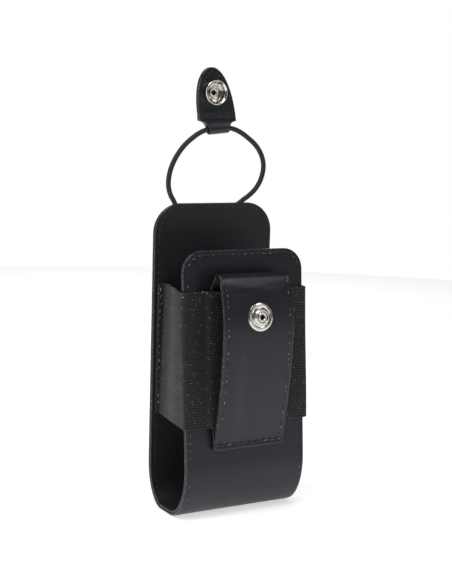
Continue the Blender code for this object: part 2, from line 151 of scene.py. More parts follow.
def add_surface(name, points, uv, material, body, slot, **per_point):
    """A closed mesh from a grid of points in millimetres, or from many grids of one size.

    points is (..., rows, columns, 3) and uv is (..., rows, columns, 2). Points in the same
    place become one, so a grid closes on itself where its edges meet, and the faces turn
    outwards: the whole is reversed if the volume inside would come out negative.
    """
    rows, columns = points.shape[-3:-1]
    index = np.arange(rows * columns).reshape(rows, columns)
    one = np.stack((index[:-1, :-1], index[:-1, 1:], index[1:, 1:], index[1:, :-1]), axis=-1)
    points = points.reshape(-1, 3)
    start = np.arange(0, len(points), rows * columns)
    corners = (one.reshape(1, -1, 4) + start[:, None, None]).reshape(-1, 4)
    _, first, welded = np.unique(np.round(points * 1e5).astype(np.int64), axis=0,
                                 return_index=True, return_inverse=True)
    faces = welded.reshape(-1)[corners]
    points = points[first] * MM
    a, b, c, d = (points[faces[:, k]] for k in range(4))
    volume = np.sum(a * np.cross(b, c)) + np.sum(a * np.cross(c, d))
    if volume < 0:
        faces = faces[:, ::-1]
        corners = corners[:, ::-1]
    twin = faces == np.roll(faces, 1, axis=1)
    whole = ~twin.any(axis=1)
    thinned = (twin.sum(axis=1) == 1) & (faces[:, 0] != faces[:, 2]) & (faces[:, 1] != faces[:, 3])
    triangles = faces[thinned][~twin[thinned]].reshape(-1, 3)
    corner_order = np.concatenate((corners[whole].reshape(-1), corners[thinned][~twin[thinned]]))
    mesh = bpy.data.meshes.new(name)
    mesh.from_pydata(points, [], faces[whole].tolist() + triangles.tolist())
    mesh.uv_layers.new(name="surface")
    mesh.uv_layers["surface"].data.foreach_set(
        "uv", np.ascontiguousarray(uv.reshape(-1, 2)[corner_order], np.float32).reshape(-1))
    for label, values in per_point.items():
        attribute = mesh.attributes.new(label, "FLOAT", "POINT")
        values = np.ascontiguousarray(values.reshape(-1)[first], np.float32)
        attribute.data.foreach_set("value", values)
    mesh.shade_smooth()
    mesh.materials.append(material)
    piece = bpy.data.objects.new(name, mesh)
    bpy.context.scene.collection.objects.link(piece)
    if body:
        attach(piece, body)
    return piece


def tube_grid(path, radius, around, relief=None):
    """A round tube along a path that stays in one plane of constant Y, with domed ends.

    A ring of points stands across the path at each of its points. At both ends the rings
    shrink as a half circle does, so the tube closes in a dome. relief(along, turn) is added
    to the radius.
    """
    dome = np.linspace(0.0, math.pi / 2, 7)[:-1]
    ahead = np.gradient(path, axis=0)
    ahead /= np.linalg.norm(ahead, axis=1)[:, None]
    start = path[0] - radius * np.cos(dome)[:, None] * ahead[0]
    end = path[-1] + radius * np.cos(dome[::-1])[:, None] * ahead[-1]
    centres = np.vstack((start, path, end))
    heading = np.vstack((np.tile(ahead[0], (len(dome), 1)), ahead, np.tile(ahead[-1], (len(dome), 1))))
    scale = np.concatenate((np.sin(dome), np.ones(len(path)), np.sin(dome[::-1])))[:, None]
    turn = (np.arange(around + 1) % around) / around * 2 * math.pi
    side = np.stack((-heading[:, 2], heading[:, 1] * 0, heading[:, 0]), axis=-1)
    depth = np.array((0.0, 1.0, 0.0))
    along = lengths_along(centres)
    reach_out = radius * np.ones((len(centres), around + 1))
    if relief is not None:
        reach_out = reach_out + relief(along[:, None], turn[None, :])
    reach_out = (reach_out * scale)[..., None]
    points = centres[:, None] + reach_out * (np.cos(turn)[None, :, None] * side[:, None]
                                             + np.sin(turn)[None, :, None] * depth)
    open_turn = np.arange(around + 1) / around
    uv = np.stack(np.broadcast_arrays(along[:, None], open_turn[None, :]), axis=-1)
    return points, uv


def linear(colour):
    """An sRGB hex colour as linear red, green, blue and 1."""
    values = [int(colour[k:k + 2], 16) / 255 for k in (1, 3, 5)]
    return (*(v / 12.92 if v <= 0.04045 else ((v + 0.055) / 1.055) ** 2.4 for v in values), 1.0)


def add_node(tree, kind, inputs=None, **settings):
    """Adds a node with its settings. Each input is a value, or the output it is linked from."""
    node = tree.nodes.new("ShaderNode" + kind)
    for label, value in settings.items():
        setattr(node, label, value)
    for label, value in (inputs or {}).items():
        if isinstance(value, bpy.types.NodeSocket):
            tree.links.new(value, node.inputs[label])
        else:
            node.inputs[label].default_value = value
    return node


def new_material(name, **shader_inputs):
    """A material, its node tree and its Principled shader with the given inputs."""
    material = bpy.data.materials.new(name)
    material.use_nodes = True
    shader = material.node_tree.nodes["Principled BSDF"]
    for label, value in shader_inputs.items():
        shader.inputs[label.replace("_", " ").title().replace("Ior", "IOR")].default_value = value
    return material, material.node_tree, shader


# Braided polyester: matte black yarn, with a painted highlight: its colour is paler where each strand
# crests.
CORD_BLACK = "#1c1c1e"
# The colour of the painted highlight on the strands' crests.
CORD_CREST = "#2e2e31"
braided, tree, shader = new_material("braided_polyester", roughness=0.62, ior=1.5,
                                     specular_ior_level=0.35, sheen_weight=0.25,
                                     sheen_roughness=0.4)
crest = add_node(tree, "Attribute", attribute_name="crest").outputs["Fac"]
braid_fibres = add_node(tree, "TexNoise", {
    "Vector": add_node(tree, "TexCoord").outputs["Object"], "Scale": 2600.0, "Detail": 2.0})
colour = add_node(tree, "Mix", {0: crest, 6: linear(CORD_BLACK), 7: linear(CORD_CREST)},
                  data_type="RGBA")
tree.links.new(colour.outputs[2], shader.inputs["Base Color"])
bump = add_node(tree, "Bump", {"Height": braid_fibres.outputs["Fac"], "Strength": 0.5,
                               "Distance": 0.00006})
tree.links.new(bump.outputs["Normal"], shader.inputs["Normal"])


def braid(along, turn):
    """Height of the braid: the two sets of strands that wind left and right, each a wave."""
    wind = 2 * math.pi * along / BRAID_LAY
    left = np.cos(BRAID_STRANDS / 2 * (turn + wind))
    right = np.cos(BRAID_STRANDS / 2 * (turn - wind))
    return BRAID_HEIGHT * (np.maximum(left, right) - 0.6)


cord_path = np.array([(x, CORD_Y, CASE_TOP + up) for x, up in CORD_POINTS])
cord_path = even_path(smooth_path(cord_path, 8), CORD_SPACING)
cord_points, cord_uv = tube_grid(cord_path, CORD_DIAMETER / 2, 20, braid)
# The braid's height also masks the painted highlight on the crests.
cord_crest = 0.5 + braid(cord_uv[..., 0], cord_uv[..., 1] * 2 * math.pi) / (2 * BRAID_HEIGHT)
cord_loop = add_surface("cord_loop", cord_points, cord_uv, braided, None, "cord",
                        crest=np.clip(cord_crest, 0.0, 1.0))

for side, foot in (("left", [(-20.6, -1.6), (-21.3, 0.0), (-22.1, HINGE_RISE)]),
                   ("right", [(11.6, -1.9), (13.9, -0.3), (16.5, HINGE_RISE)])):
    foot_path = even_path(np.array([(x, CORD_Y, CASE_TOP + up) for x, up in foot]), CORD_SPACING)
    foot_points, foot_uv = tube_grid(foot_path, CORD_DIAMETER / 2 - 0.02, 20, braid)
    foot_crest = 0.5 + braid(foot_uv[..., 0], foot_uv[..., 1] * 2 * math.pi) / (2 * BRAID_HEIGHT)
    add_surface(f"cord_foot_{side}", foot_points, foot_uv, braided, "case", "cord",
                crest=np.clip(foot_crest, 0.0, 1.0))

# ---- Floor and lights ----
# A pale matt table under four soft boxes (above, to the left, above the front right and behind)
# and a weak card at the front right. The table glows a little, so that it stays nearly white.

FLOOR_WHITE = "#f4f4f3"
floor_material, tree, shader = new_material("pale_table", roughness=0.9, specular_ior_level=0.1,
                                            base_color=linear(FLOOR_WHITE),
                                            emission_color=(1.0, 1.0, 1.0, 1.0),
                                            emission_strength=0.58)
floor_mesh = bpy.data.meshes.new("floor")
floor_ring = [(0.9 * math.cos(a), 0.9 * math.sin(a), 0.0)
              for a in np.linspace(0.0, 2 * math.pi, 64, endpoint=False)]
floor_mesh.from_pydata(floor_ring, [], [list(range(64))])
floor_mesh.materials.append(floor_material)
floor = bpy.data.objects.new("floor", floor_mesh)
floor.location.z = -0.0002
bpy.context.scene.collection.objects.link(floor)

LIGHTS = [  # name, place, aims at, width, height, watts
    ("soft_box_above", (-0.25, -0.20, 0.85), (0.0, 0.0, 0.08), 0.6, 0.5, 3.9),
    ("soft_box_left", (-0.80, 0.10, 0.32), (0.0, 0.0, 0.09), 0.25, 0.6, 2.3),
    ("card_front_right", (0.42, -0.66, 0.13), (0.0, -0.02, 0.10), 0.16, 0.20, 0.08),
    ("soft_box_front_above", (0.40, -0.62, 0.74), (0.0, 0.0, 0.12), 0.35, 0.35, 1.05),
    ("soft_box_behind", (0.30, 0.75, 0.55), (0.0, 0.0, 0.08), 0.6, 0.4, 1.4),
]
for name, place, aim, width, height, watts in LIGHTS:
    light_data = bpy.data.lights.new(name, "AREA")
    light_data.shape = "RECTANGLE"
    light_data.size = width
    light_data.size_y = height
    light_data.energy = watts
    light = bpy.data.objects.new(name, light_data)
    bpy.context.scene.collection.objects.link(light)
    light.location = place
    light.rotation_euler = (Vector(place) - Vector(aim)).to_track_quat("Z", "Y").to_euler()

world = bpy.data.worlds.new("studio")
bpy.context.scene.world = world
world.use_nodes = True
tree = world.node_tree
background = tree.nodes["Background"]
seen = add_node(tree, "LightPath").outputs["Is Camera Ray"]
ROOM_GREY = (0.11, 0.11, 0.112, 1.0)  # what the case reflects; the camera itself sees white
room = add_node(tree, "Mix", {0: seen, 6: ROOM_GREY, 7: (1.0, 1.0, 1.0, 1.0)},
                data_type="RGBA")
tree.links.new(room.outputs[2], background.inputs["Color"])
bpy.context.scene.view_settings.view_transform = "Standard"

# ---- Case strip ----
# Two plies of black leather, full grain outside and a smooth split inside, glued, sewn all
# round 2 mm from the edge and bent into a U. The cut edges are rubbed round and dyed.

BACK_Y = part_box("case_outer")[1].y / MM
CASE_WIDTH = 64.0
BACK_HEIGHT = 144.6
FRONT_HEIGHT = 125.8
CASE_DEPTH = 39.1
BACK_BEND = (14.0, 22.0)  # depth and height of the bend behind the flat foot
FRONT_BEND = (16.0, 23.5)
FRONT_LEAN = math.radians(4.95)
CASE_PLY = 1.22
BACK_CORNER = 14.0
FRONT_CORNER = 10.0
SEAM_INSET = 2.15
SEAM_DIP = 0.16
EDGE_ROUNDING = 0.5
BEND_OVERRUN = math.atan(FRONT_BEND[1] / FRONT_BEND[0] * math.tan(FRONT_LEAN))
FRONT_FOOT = (BACK_Y - CASE_DEPTH + FRONT_BEND[0] * (1 - math.cos(BEND_OVERRUN))
              - FRONT_BEND[1] * (1 + math.sin(BEND_OVERRUN)) * math.tan(FRONT_LEAN))


def front_point(up, out):
    """(y, z) at a height up the leaning front panel and a distance out from its face."""
    up, out = np.broadcast_arrays(np.asarray(up, float), np.asarray(out, float))
    return np.stack((FRONT_FOOT + up * math.sin(FRONT_LEAN) - out * math.cos(FRONT_LEAN),
                     up * math.cos(FRONT_LEAN) + out * math.sin(FRONT_LEAN)), axis=-1)


def bend(centre_y, size, start, end):
    """One bend of the bottom, part of an ellipse of that depth and height, as (y, z) points."""
    a = np.linspace(start, end, 60)
    return np.stack((centre_y + size[0] * np.cos(a), size[1] * (1 - np.sin(a))), axis=-1)


case_line = even_path(np.vstack((
    [(BACK_Y, BACK_HEIGHT)],
    bend(BACK_Y - BACK_BEND[0], BACK_BEND, 0.0, math.pi / 2),
    bend(BACK_Y - CASE_DEPTH + FRONT_BEND[0], FRONT_BEND, math.pi / 2, math.pi + BEND_OVERRUN),
    front_point(FRONT_HEIGHT, 0.0)[None],
)), 0.5)
CASE_LENGTH = lengths_along(case_line)[-1]


def on_line(line, along, out):
    """(y, z) at distances along a line and out from its left-hand side."""
    lengths = lengths_along(line)
    heading = np.gradient(line, axis=0)
    heading /= np.linalg.norm(heading, axis=1)[:, None]
    y, z, ahead_y, ahead_z = (np.interp(along, lengths, values)
                              for values in (*line.T, *heading.T))
    return np.stack((y - out * ahead_z, z + out * ahead_y), axis=-1)


def graded(length, spacing):
    """Distances from 0 to a length, close together near both ends where an edge rounds off."""
    near = np.array((0.0, 0.04, 0.12, 0.25, 0.42, 0.65, 0.95, 1.3, 1.65, 1.95, 2.25, 2.6, 3.0, 3.6))
    middle = np.linspace(4.4, length - 4.4, max(2, round((length - 8.8) / spacing)))
    return np.concatenate((near, middle, length - near[::-1]))


def edge_distance(across, along, half, length, corners):
    """Distance in from the outline of a strip whose ends have rounded corners.

    In a corner it is the corner's radius less the distance to its centre, and elsewhere the
    distance to the nearer straight edge.
    """
    radius = np.where(along < length / 2, corners[0], corners[1])
    out_x = np.abs(across) - (half - radius)
    out_s = np.abs(along - length / 2) - (length / 2 - radius)
    return radius - np.hypot(np.maximum(out_x, 0), np.maximum(out_s, 0)) - np.minimum(
        np.maximum(out_x, out_s), 0)


def sheet_grid(line, half, corners, thickness, depth, spacing=1.5, seam=SEAM_INSET, relief=None):
    """A strip of leather with rubbed edges, along a line of (y, z) points.

    Its flat shape is a rectangle with rounded corners. Half its thickness is a quarter circle's
    height at the distance in from the outline, so both faces meet at the edge, less a dip along
    the seam. depth is from the line in to its middle, and relief(across, along) lifts it.
    """
    length = lengths_along(line)[-1]
    turn = np.linspace(0.0, math.pi / 2, 15)
    rows = np.concatenate((graded(length, spacing), corners[0] * (1 - np.cos(turn)),
                           length - corners[1] * (1 - np.cos(turn))))
    rows = np.unique(np.round(rows, 2))
    radius = np.where(rows < length / 2, corners[0], corners[1])
    to_end = np.minimum(np.minimum(rows, length - rows), radius)
    width = half - radius + np.sqrt(np.maximum(0.0, radius ** 2 - (radius - to_end) ** 2))
    columns = graded(2 * half, spacing) / half - 1
    across = columns[None, :] * width[:, None]
    along = np.broadcast_to(rows[:, None], across.shape)
    inset = edge_distance(across, along, half, length, corners)
    share = np.clip(inset / EDGE_ROUNDING, 0.0, 1.0)
    share[:, (0, -1)] = 0.0
    share[(0, -1), :] = 0.0
    thick = thickness / 2 * np.sqrt(1 - (1 - share) ** 2)
    if seam:
        thick = thick - SEAM_DIP / 2 * np.exp(-((inset - seam) / 0.5) ** 2) * (share > 0)
    lift = -depth + (0.0 if relief is None else relief(across, along))
    faces = []
    for side in (1, -1):
        y_z = on_line(line, along, lift + side * thick)
        faces.append(np.concatenate((across[..., None], y_z), axis=-1))
    points = np.concatenate((faces[0], faces[1][::-1]), axis=0)
    uv = np.stack((across, along), axis=-1)
    uv = np.concatenate((uv, uv[::-1]), axis=0)
    edge = np.concatenate((inset, inset[::-1]), axis=0)
    return points, uv, np.clip(1 - edge / 1.1, 0.0, 1.0)


FINISH_TINT = "#edf1ff"  # the cool cast of the lacquer on black leather
BARE_FIBRE = "#77777b"


def leather(name, colour, worn, roughness, grain):
    """Leather: dyed colour that varies in patches, pebble grain, and smoothed edges that are painted
    paler: partly dye lost to wear, partly a painted highlight.

    Along the cut edges, paler specks are painted in: glints of light on the edge grain.
    """
    material, tree, shader = new_material(name, ior=1.48, specular_ior_level=0.5,
                                          specular_tint=linear(FINISH_TINT))
    place = add_node(tree, "TexCoord").outputs["Object"]
    patches = add_node(tree, "TexNoise", {"Vector": place, "Scale": 70.0, "Detail": 3.0,
                                          "Roughness": 0.6}).outputs["Fac"]
    mottled = add_node(tree, "MapRange", {"Value": patches, 1: 0.3, 2: 0.75, 3: 0.0, 4: 0.6})
    edge = add_node(tree, "Attribute", attribute_name="edge").outputs["Fac"]
    # Paler at the edges: partly dye rubbed away, partly a painted highlight where the edges catch the
    # light.
    rubbed = add_node(tree, "Math", {0: mottled.outputs[0], 1: edge}, operation="MAXIMUM")
    dyed = add_node(tree, "Mix", {0: rubbed.outputs[0], 6: linear(colour), 7: linear(worn)},
                    data_type="RGBA")
    # Painted glints: paler specks scattered along the cut edges.
    flecks = add_node(tree, "TexNoise", {"Vector": place, "Scale": 1500.0, "Detail": 1.0}).outputs["Fac"]
    fleck = add_node(tree, "MapRange", {"Value": flecks, 1: 0.60, 2: 0.74, 3: 0.0, 4: 1.0}).outputs[0]
    cut = add_node(tree, "MapRange", {"Value": edge, 1: 0.55, 2: 0.95, 3: 0.0, 4: 1.0}).outputs[0]
    fleck = add_node(tree, "Math", {0: fleck, 1: cut}, operation="MULTIPLY").outputs[0]
    flecked = add_node(tree, "Mix", {0: fleck, 6: dyed.outputs[2], 7: linear(BARE_FIBRE)},
                       data_type="RGBA")
    tree.links.new(flecked.outputs[2], shader.inputs["Base Color"])
    gloss = add_node(tree, "MapRange", {"Value": patches, 1: 0.3, 2: 0.7, 3: roughness - 0.06,
                                        4: roughness + 0.08}).outputs[0]
    gloss = add_node(tree, "Math", {0: edge, 1: -0.16, 2: gloss}, operation="MULTIPLY_ADD")
    tree.links.new(gloss.outputs[0], shader.inputs["Roughness"])
    pebbles = add_node(tree, "TexVoronoi", {"Vector": place, "Scale": 1 / (grain * MM)},
                       feature="SMOOTH_F1").outputs["Distance"]
    pores = add_node(tree, "TexNoise", {"Vector": place, "Scale": 1.6 / (grain * MM),
                                        "Detail": 3.0}).outputs["Fac"]
    height = add_node(tree, "Math", {0: pores, 1: 0.8, 2: pebbles}, operation="MULTIPLY_ADD")
    bump = add_node(tree, "Bump", {"Height": height.outputs[0], "Strength": 0.35,
                                   "Distance": 0.00008})
    tree.links.new(bump.outputs["Normal"], shader.inputs["Normal"])
    return material


# Full-grain cowhide, dyed black: a low gloss that lightens where it faces the light.
outer_leather = leather("full_grain_cowhide", "#0d0d0f", "#17181a", 0.40, 0.9)
# The lining is a split with a finer, duller face.
lining_leather = leather("split_leather", "#151516", "#222223", 0.58, 0.6)
# Bonded nylon thread, black and slightly shiny, with painted glints: a paler colour at some of the
# holes.
thread, tree, shader = new_material("nylon_thread", roughness=0.42, ior=1.53,
                                    sheen_weight=0.3, sheen_roughness=0.3)
tone = add_node(tree, "Attribute", attribute_name="tone").outputs["Fac"]
thread_colour = add_node(tree, "Mix", {0: tone, 6: linear("#151517"), 7: linear("#b4b4b8")},
                         data_type="RGBA")
tree.links.new(thread_colour.outputs[2], shader.inputs["Base Color"])


def add_stitches(name, centre, ahead, out, body, length, width=0.34, seed=1, pale=0.5):
    """A row of stitches, each a short thread whose ends go down into the leather.

    A stitch is a tube of six sides along its direction. Its middle stands out by part of its
    width, and its radius falls with the fourth power of the distance from its middle to a
    point at each end. Some are painted paler where they come up: painted glints.
    """
    random = np.random.default_rng(seed)
    along = np.array((-1.0, -0.86, -0.4, 0.4, 0.86, 1.0))
    turn = (np.arange(7) % 6) / 6 * 2 * math.pi
    ahead = ahead / np.linalg.norm(ahead, axis=1)[:, None]
    out = out / np.linalg.norm(out, axis=1)[:, None]
    side = np.cross(ahead, out)
    swing = random.normal(0.0, 0.05, (len(centre), 1))
    ahead = ahead + side * swing
    radius = width / 2 * np.maximum(0.0, 1 - along ** 4) ** 0.5
    lift = width * (0.42 - 0.62 * along ** 4)
    spine = (centre[:, None] + ahead[:, None] * (along * length / 2)[None, :, None]
             + out[:, None] * lift[None, :, None])
    ring = (side[:, None, None] * np.cos(turn)[:, None]
            + out[:, None, None] * np.sin(turn)[:, None])
    points = spine[:, :, None] + radius[None, :, None, None] * ring
    # Painted glints: some stitches get a paler colour towards the end where they come up.
    tones = np.clip(random.random(len(centre)) ** 2 * pale * 2, 0.0, 1.0)[:, None, None]
    tones = tones * (along > 0.2)[None, :, None]
    uv = np.zeros((*points.shape[:-1], 2))
    uv[..., 0] = along[None, :, None]
    return add_surface(name, points, uv, thread, body, "cord",
                       tone=np.broadcast_to(tones, points.shape[:-1]))


def seam_points(half, length, corners, inset, pitch):
    """Middles and directions of stitches round a strip, as (across, along), at an inset."""
    pieces = []
    for radius, end, flip in ((corners[0], 0.0, 1), (corners[1], length, -1)):
        a = np.linspace(0.0, math.pi / 2, 12)
        right = np.stack((half - radius + (radius - inset) * np.sin(a),
                          end + flip * (radius - (radius - inset) * np.cos(a))), axis=-1)
        left = right[::-1] * (-1, 1)
        pieces.append(np.vstack((left, right)) if flip == 1 else np.vstack((right[::-1], left[::-1])))
    loop = np.vstack((*pieces, pieces[0][:1]))
    count = round(lengths_along(loop)[-1] / pitch)
    loop = even_path(loop, lengths_along(loop)[-1] / (2 * count))
    ahead = loop[2::2] - loop[:-1:2]
    return loop[1::2], ahead


def on_strip(line, across_along, out):
    """Points (x, y, z) on a strip, from (across, along) and a height out from its line."""
    return np.concatenate((across_along[:, :1], on_line(line, across_along[:, 1], out)), axis=-1)


CASE_CORNERS = (BACK_CORNER, FRONT_CORNER)
for name, depth, material, node in (
        ("case_outer_ply", CASE_PLY / 2, outer_leather, "case_outer"),
        ("case_lining_ply", 1.5 * CASE_PLY + 0.04, lining_leather, "case_lining")):
    points, uv, edge = sheet_grid(case_line, CASE_WIDTH / 2, CASE_CORNERS, CASE_PLY, depth)
    ply = add_surface(name, points, uv, material, "case", "leather", edge=edge)
    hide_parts(node)

BAND_BOTTOM = 44.4
BAND_HEIGHT = 62.8
middles, ahead = seam_points(CASE_WIDTH / 2, CASE_LENGTH, CASE_CORNERS, SEAM_INSET, 3.4)
for name, out, facing, seed, pale in (
        ("case_seam_outside", -SEAM_DIP / 2, 1.0, 11, 0.4),
        ("case_seam_inside", -2 * CASE_PLY - 0.04 + SEAM_DIP / 2, -1.0, 9, 0.12)):
    centre = on_strip(case_line, middles, out)
    forward = on_strip(case_line, middles + ahead * 0.1, out) - centre
    outward = (on_strip(case_line, middles, out + 1.0) - centre) * facing
    height = centre[:, 2]
    on_front = middles[:, 1] > CASE_LENGTH / 2
    under_band = (height > BAND_BOTTOM - 1.0) & (height < BAND_BOTTOM + BAND_HEIGHT + 1.0)
    shown = ~(under_band & (on_front if facing > 0 else ~on_front))
    add_stitches(name, centre[shown], forward[shown], outward[shown], "case", 1.6,
                 seed=seed, pale=pale)

# ---- Elastic band ----
# Ribbed knitted elastic, 63 mm high: rubber threads wrapped in black nylon, with pale rubber
# showing between the loops. Its ends are sewn inside the back panel's edges.

BAND_THICKNESS = 1.2
BAND_FLANGE = (2.3, 3.9)  # width sewn to the back panel, at the bottom and at the top
BAND_INSET = 1.5
RIB_PITCH = 1.25
RIB_HEIGHT = 0.26
STRAP_HALF = 18.5
STRAP_PLY = 0.8
GAP = 0.3


def band_corners(z):
    """The band's middle line at one height: (x, y) points from left to right."""
    on_face = GAP + BAND_THICKNESS / 2
    back = BACK_Y - 2.5 - on_face
    front = front_point(z / math.cos(FRONT_LEAN), 0.0)[0]
    over_strap = front - on_face - STRAP_PLY - GAP
    raw_end = CASE_WIDTH / 2 - BAND_INSET
    rise = np.clip((z - BAND_BOTTOM) / BAND_HEIGHT, 0.0, 1.0)
    fold = raw_end - BAND_FLANGE[0] - (BAND_FLANGE[1] - BAND_FLANGE[0]) * rise ** 1.5
    side = CASE_WIDTH / 2 + on_face
    wall = [(fold + (side - fold) * (across * rise + (1 - along) * (1 - rise)),
             front + (back - front) * along)
            for along, across in ((0.08, 1.0), (0.2, 0.86), (0.37, 0.58), (0.55, 0.36), (0.73, 0.15),
                                  (0.86, 0.04))]
    strap_edge = STRAP_HALF + GAP
    half = np.array([
        (0.0, over_strap), (strap_edge, over_strap), (strap_edge + 1.2, over_strap + 0.2),
        (strap_edge + 3.2, front - on_face - 0.1), (strap_edge + 5.0, front - on_face),
        (CASE_WIDTH / 2, front - on_face),
        (CASE_WIDTH / 2 + 0.75 * on_face, front - 0.75 * on_face), (side, front), *wall,
        (fold + 0.05, back - 1.5), (fold + 0.25, back - 0.5), (fold + 1.1, back), (raw_end, back),
    ])
    return np.vstack((half[:0:-1] * (-1, 1), half))


band_low = smooth_path(band_corners(BAND_BOTTOM), 4)
band_high = smooth_path(band_corners(BAND_BOTTOM + BAND_HEIGHT), 4)
band_rows = np.concatenate((np.linspace(0.0, 0.6, 6)[:-1],
                            np.linspace(0.6, BAND_HEIGHT - 0.6, 291),
                            BAND_HEIGHT - np.linspace(0.6, 0.0, 6)[1:]))
share = (band_rows / BAND_HEIGHT)[:, None, None]
band_middle = band_low + (band_high - band_low) * share
band_ahead = np.gradient(band_middle, axis=1)
band_ahead /= np.linalg.norm(band_ahead, axis=-1)[..., None]
band_out = np.stack((band_ahead[..., 1], -band_ahead[..., 0]), axis=-1)
band_along = lengths_along(band_low)
rib = np.abs(np.sin(math.pi * band_rows / RIB_PITCH)) ** 0.7
to_edge = np.minimum(band_rows, BAND_HEIGHT - band_rows)[:, None]
to_end = np.minimum(band_along, band_along[-1] - band_along)[None, :]
share = np.clip(np.minimum(to_edge, to_end) / 0.55, 0.0, 1.0)
share[:, (0, -1)] = 0.0
share[(0, -1), :] = 0.0
band_thick = (BAND_THICKNESS / 2 + RIB_HEIGHT * (rib[:, None] - 0.75)) * np.sqrt(1 - (1 - share) ** 2)
band_wave = 0.10 * np.sin(band_along / 7.0)[None, :] * np.sin(band_rows / 9.0)[:, None]
band_faces = []
for side in (1, -1):
    flat = band_middle + band_out * (side * band_thick + band_wave)[..., None]
    height = np.broadcast_to((BAND_BOTTOM + band_rows)[:, None, None], (*flat.shape[:2], 1))
    band_faces.append(np.concatenate((flat, height), axis=-1))
band_points = np.concatenate((band_faces[0], band_faces[1][::-1]), axis=0)
band_uv = np.stack(np.broadcast_arrays(band_along[None, :], band_rows[:, None]), axis=-1)
band_uv = np.concatenate((band_uv, band_uv[::-1]), axis=0)
# The grooves between the ribs, as the mask of the painted shade.
band_groove = np.broadcast_to(1 - rib[:, None], band_middle.shape[:2])
band_groove = np.concatenate((band_groove, band_groove[::-1]), axis=0)
band_selvedge = np.broadcast_to(np.clip(1.3 - to_edge / 0.8, 0.0, 1.0), band_middle.shape[:2])
band_selvedge = np.concatenate((band_selvedge, band_selvedge[::-1]), axis=0)
# A painted highlight stands upright in each side wall: it peaks 19 mm from the sewn end and fades over 6
# mm.
PALE_BAND_CENTRE = 19.0
PALE_BAND_FADE = 6.0
from_end = np.minimum(band_along, band_along[-1] - band_along)[None, :]
pale_band = np.exp(-((from_end - PALE_BAND_CENTRE) / PALE_BAND_FADE) ** 2)
pale_band = np.broadcast_to(pale_band, band_middle.shape[:2])
pale_band = np.concatenate((pale_band, pale_band[::-1]), axis=0)

# Knitted nylon over rubber: matte, with fine loops across each rib and scattered pale specks, and
# painted shade: a darker colour in the grooves between the ribs.
LOOP_WIDTH = 0.55
knit, tree, shader = new_material("knitted_elastic", roughness=0.66, ior=1.5,
                                  specular_ior_level=0.4, sheen_weight=0.08,
                                  sheen_roughness=0.35)
surface = add_node(tree, "UVMap", uv_map="surface").outputs["UV"]
loops = add_node(tree, "TexWave", {"Vector": surface, "Scale": 0.314 / LOOP_WIDTH,
                                   "Distortion": 1.4, "Detail": 2.0, "Detail Scale": 2.0},
                 wave_type="BANDS", bands_direction="X").outputs["Fac"]
fuzz = add_node(tree, "TexNoise", {"Vector": surface, "Scale": 2.6, "Detail": 3.0}).outputs["Fac"]
groove = add_node(tree, "Attribute", attribute_name="groove").outputs["Fac"]
# Painted shade: the colour darkens in the grooves between the ribs.
body_tone = add_node(tree, "MapRange", {"Value": groove, 1: 0.0, 2: 0.8, 3: 1.0, 4: 0.0}).outputs[0]
yarn = add_node(tree, "Math", {0: loops, 1: body_tone}, operation="MULTIPLY")
# Painted highlight: the ribs' colour is paler in the upright band of each side wall.
pale_yarn = add_node(tree, "Attribute", attribute_name="pale_band").outputs["Fac"]
crest_colour = add_node(tree, "Mix", {0: pale_yarn, 6: linear("#252527"), 7: linear("#5c5c5e")},
                        data_type="RGBA").outputs[2]
yarn_colour = add_node(tree, "Mix", {0: yarn.outputs[0], 6: linear("#0c0c0e"), 7: crest_colour},
                       data_type="RGBA")
speck_cells = add_node(tree, "TexVoronoi", {"Vector": surface, "Scale": 0.95}).outputs["Distance"]
speck = add_node(tree, "MapRange", {"Value": speck_cells, 1: 0.12, 2: 0.24, 3: 1.0, 4: 0.0}).outputs[0]
clusters = add_node(tree, "TexNoise", {"Vector": surface, "Scale": 0.35, "Detail": 4.0,
                                       "Roughness": 0.75}).outputs["Fac"]
cluster = add_node(tree, "MapRange", {"Value": clusters, 1: 0.47, 2: 0.68, 3: 0.0, 4: 1.0}).outputs[0]
selvedge = add_node(tree, "Attribute", attribute_name="selvedge").outputs["Fac"]
cluster = add_node(tree, "Math", {0: cluster, 1: selvedge}, operation="MAXIMUM").outputs[0]
speck = add_node(tree, "Math", {0: speck, 1: cluster}, operation="MULTIPLY")
speckled = add_node(tree, "Mix", {0: speck.outputs[0], 6: yarn_colour.outputs[2],
                                  7: linear("#b9b9ba")}, data_type="RGBA")
tree.links.new(speckled.outputs[2], shader.inputs["Base Color"])
height = add_node(tree, "Math", {0: loops, 1: fuzz}, operation="ADD")
bump = add_node(tree, "Bump", {"Height": height.outputs[0], "Strength": 0.6,
                               "Distance": 0.00012})
tree.links.new(bump.outputs["Normal"], shader.inputs["Normal"])
band = add_surface("knitted_band", band_points, band_uv, knit, "case", "elastic",
                   groove=band_groove, selvedge=band_selvedge, pale_band=pale_band)
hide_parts("elastic_band")

flange_z = np.arange(BAND_BOTTOM + 1.8, BAND_BOTTOM + BAND_HEIGHT - 1.0, 3.4)
for side, label in ((-1, "left"), (1, "right")):
    centre = np.stack((np.full_like(flange_z, side * (CASE_WIDTH / 2 - 2.7)),
                       np.full_like(flange_z, BACK_Y - 2.5 - GAP - BAND_THICKNESS - 0.02),
                       flange_z), axis=-1)
    add_stitches(f"band_seam_{label}", centre, np.tile((0.0, 0.0, 1.0), (len(centre), 1)),
                 np.tile((0.0, -1.0, 0.0), (len(centre), 1)), "case", 1.9, seed=30 + side)

# ---- Strap ----
# A facing of black leather folded over at the top, with a thin lining behind its front leg,
# sewn down both edges. Its foot is sewn through to the front panel with a heavier thread.

